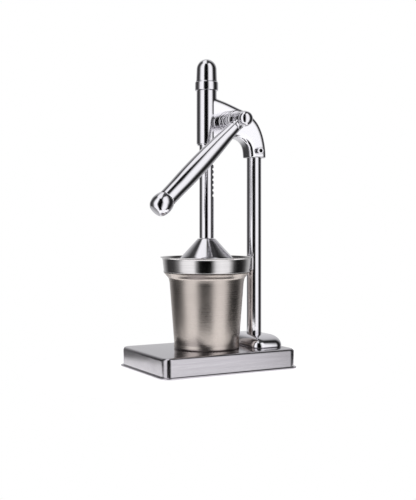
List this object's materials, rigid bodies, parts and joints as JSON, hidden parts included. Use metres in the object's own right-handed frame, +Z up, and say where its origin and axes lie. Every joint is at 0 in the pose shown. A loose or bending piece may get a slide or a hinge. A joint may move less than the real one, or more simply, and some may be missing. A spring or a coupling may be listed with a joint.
{
  "type": "hand citrus press",
  "caption": "Free-standing hand citrus press: a lever and pinion drive a toothed rod that presses a bell onto a perforated cone over a loose juice cup.",
  "frame": {"origin": "on the floor under the middle of the whole object's box", "axes": "+Z up along the column and the rod, -Y towards the front where the lever is, +X towards the column's end of the base"},
  "size_m": [0.1888, 0.1304, 0.37],
  "materials": {
    "polished_chrome": "mirror-polished chrome plate on steel",
    "base_chrome": "chrome-plated pressed sheet, satin on the flats",
    "brushed_stainless": "brushed stainless sheet",
    "plain_steel": "plain zinc-plated steel",
    "brass_bush": "plain turned brass",
    "foot_rubber": "matt moulded rubber"
  },
  "bodies": {
    "frame": {"base_shell": "base_chrome", "base_channel": "plain_steel", "bottom_plate": "plain_steel", "rubber_foot_front_left": "foot_rubber", "rubber_foot_front_right": "foot_rubber", "rubber_foot_back_left": "foot_rubber", "rubber_foot_back_right": "foot_rubber", "plate_screw_front_left": "plain_steel", "plate_screw_front_right": "plain_steel", "plate_screw_back_left": "plain_steel", "plate_screw_back_right": "plain_steel", "column_saddle": "polished_chrome", "column_tube": "polished_chrome", "column_plug": "plain_steel", "column_bolt": "plain_steel", "column_washer": "plain_steel", "head_casting": "polished_chrome", "cross_bolt": "polished_chrome", "cross_nut": "plain_steel", "guide_bush_lower": "polished_chrome", "guide_bush_upper": "brass_bush", "gear_cover": "polished_chrome", "cover_screw_1": "plain_steel", "cover_screw_2": "plain_steel", "cover_screw_3": "plain_steel", "shaft_bush_rear": "brass_bush", "shaft_bush_front": "polished_chrome"},
    "lever": {"pinion_gear": "plain_steel", "pinion_shaft": "plain_steel", "pinion_key": "plain_steel", "thrust_washer": "plain_steel", "lever_hub": "polished_chrome", "hub_pin": "plain_steel", "hub_cap_nut": "polished_chrome", "lever_ferrule": "polished_chrome", "lever_tube": "polished_chrome", "lever_knob": "polished_chrome"},
    "press": {"rack_rod": "polished_chrome", "rod_cap": "polished_chrome", "press_bell": "polished_chrome", "bell_screw": "plain_steel", "bell_washer": "plain_steel"},
    "cup": {"juice_cup": "brushed_stainless"},
    "strainer": {"strainer_bowl": "brushed_stainless", "strainer_cone": "brushed_stainless"}
  },
  "joints": [
    {"name": "lever_turn", "type": "hinge", "parent": "frame", "child": "lever", "pos_m": [0.02238, 0.00015, 0.2944], "axis": [0, 1, 0], "range_deg": [0, 270]},
    {"name": "press_slide", "type": "slide", "parent": "frame", "child": "press", "axis": [0, 0, 1], "range_m": [0, 0.066]},
    {"name": "cup_turn", "type": "hinge", "parent": "frame", "child": "cup", "pos_m": [0.00238, 0.00015, 0.023], "axis": [0, 0, 1], "continuous": true},
    {"name": "strainer_turn", "type": "hinge", "parent": "cup", "child": "strainer", "pos_m": [0.00238, 0.00015, 0.115], "axis": [0, 0, 1], "continuous": true}
  ],
  "couplings": [
    {"joint": "press_slide", "follows": "lever_turn", "m_per_rad": 0.014}
  ]
}
